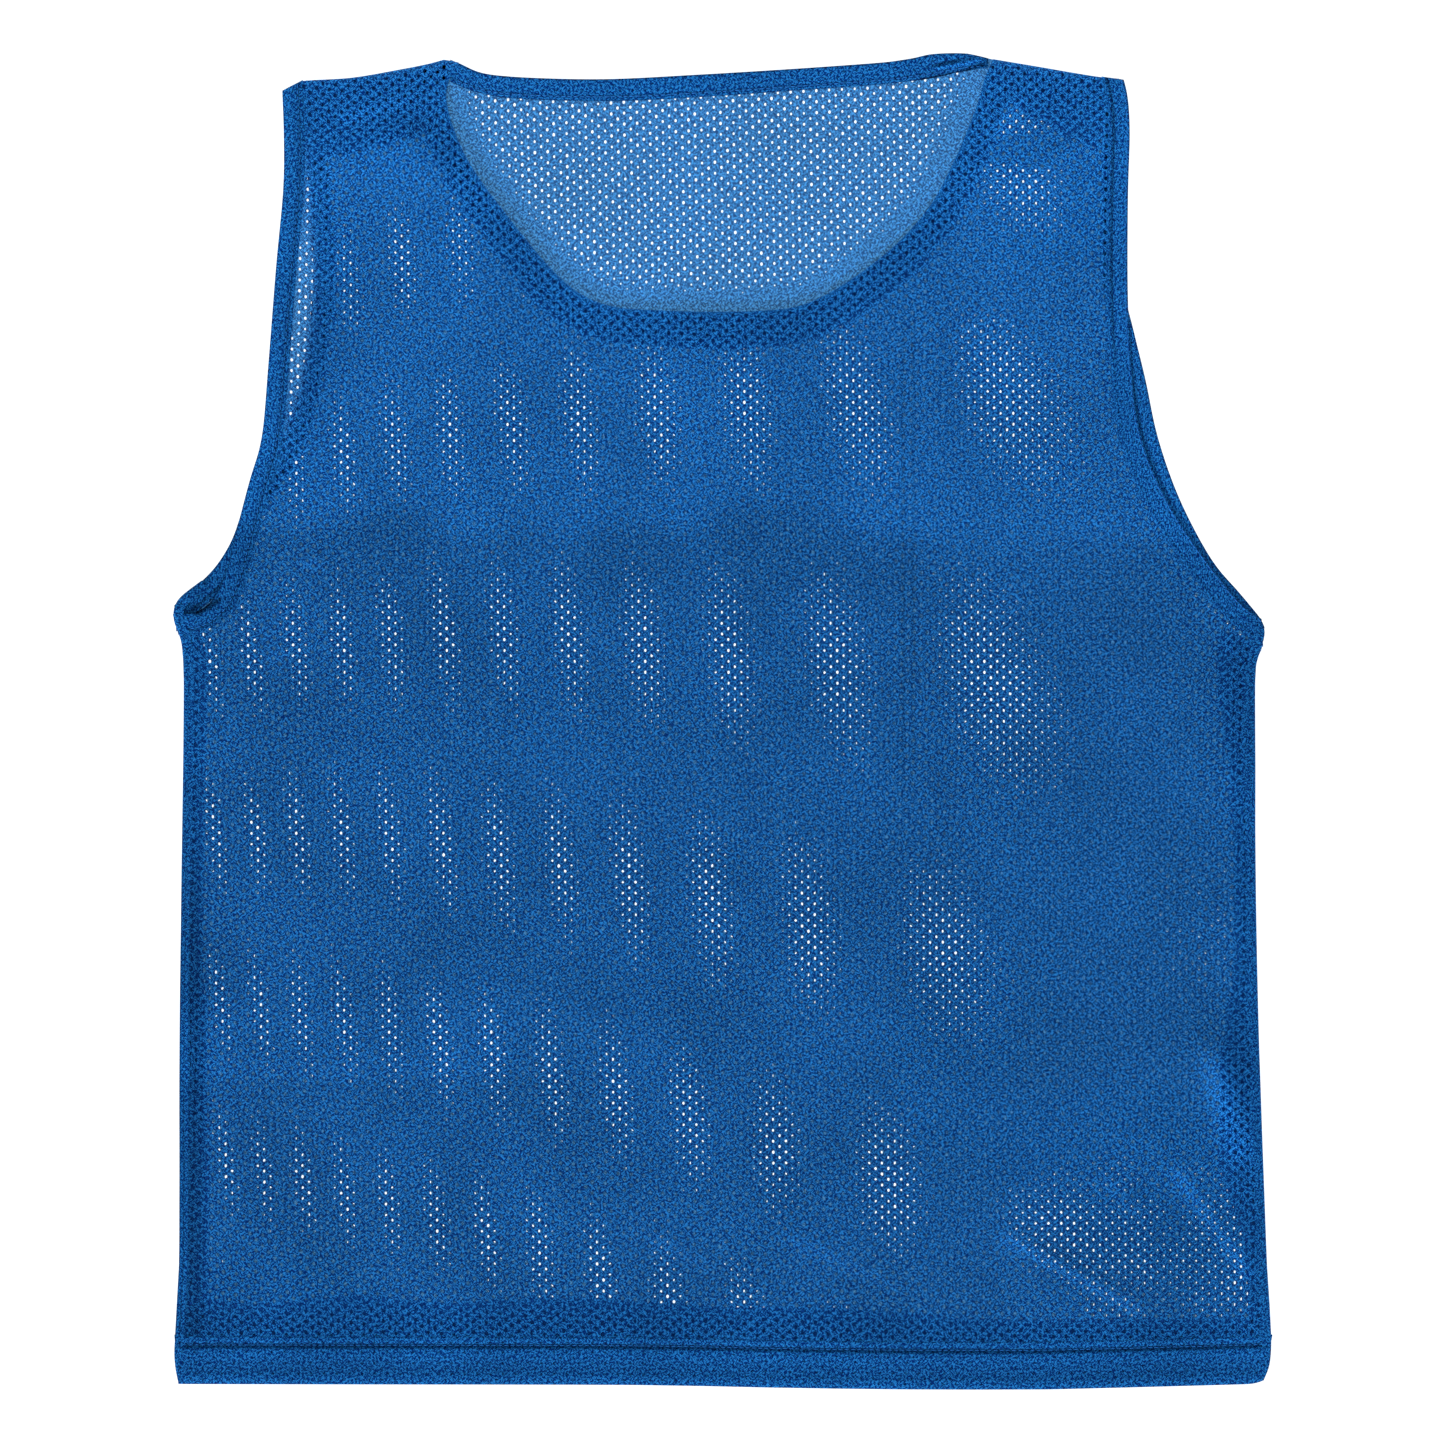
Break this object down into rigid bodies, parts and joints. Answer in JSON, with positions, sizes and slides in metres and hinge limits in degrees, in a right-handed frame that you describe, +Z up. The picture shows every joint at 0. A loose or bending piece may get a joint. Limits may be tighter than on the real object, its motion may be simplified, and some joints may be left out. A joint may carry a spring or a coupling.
{
  "type": "mesh training bib",
  "caption": "Sleeveless mesh sports bib laid flat: front and back panels, bound scoop neck and armholes, turned-up hem.",
  "frame": {"origin": "on the table, at the middle of the bib's bounding box", "axes": "+X across the bib to the right of the picture, +Y from the hem to the shoulders, +Z up from the table"},
  "size_m": [0.5492, 0.668, 0.0059],
  "materials": {
    "mesh_cloth": "warp-knit polyester eyelet mesh, soft sheen",
    "doubled_cloth": "the same polyester knit, doubled and stitched, soft sheen"
  },
  "bodies": {
    "root": {"back_panel": "mesh_cloth", "front_panel": "mesh_cloth", "back_hem": "doubled_cloth", "front_hem": "doubled_cloth", "neck_binding_back": "doubled_cloth", "neck_binding_front": "doubled_cloth", "armhole_binding_left_front": "doubled_cloth", "armhole_binding_left_back": "doubled_cloth", "armhole_binding_right_front": "doubled_cloth", "armhole_binding_right_back": "doubled_cloth"}
  },
  "joints": []
}
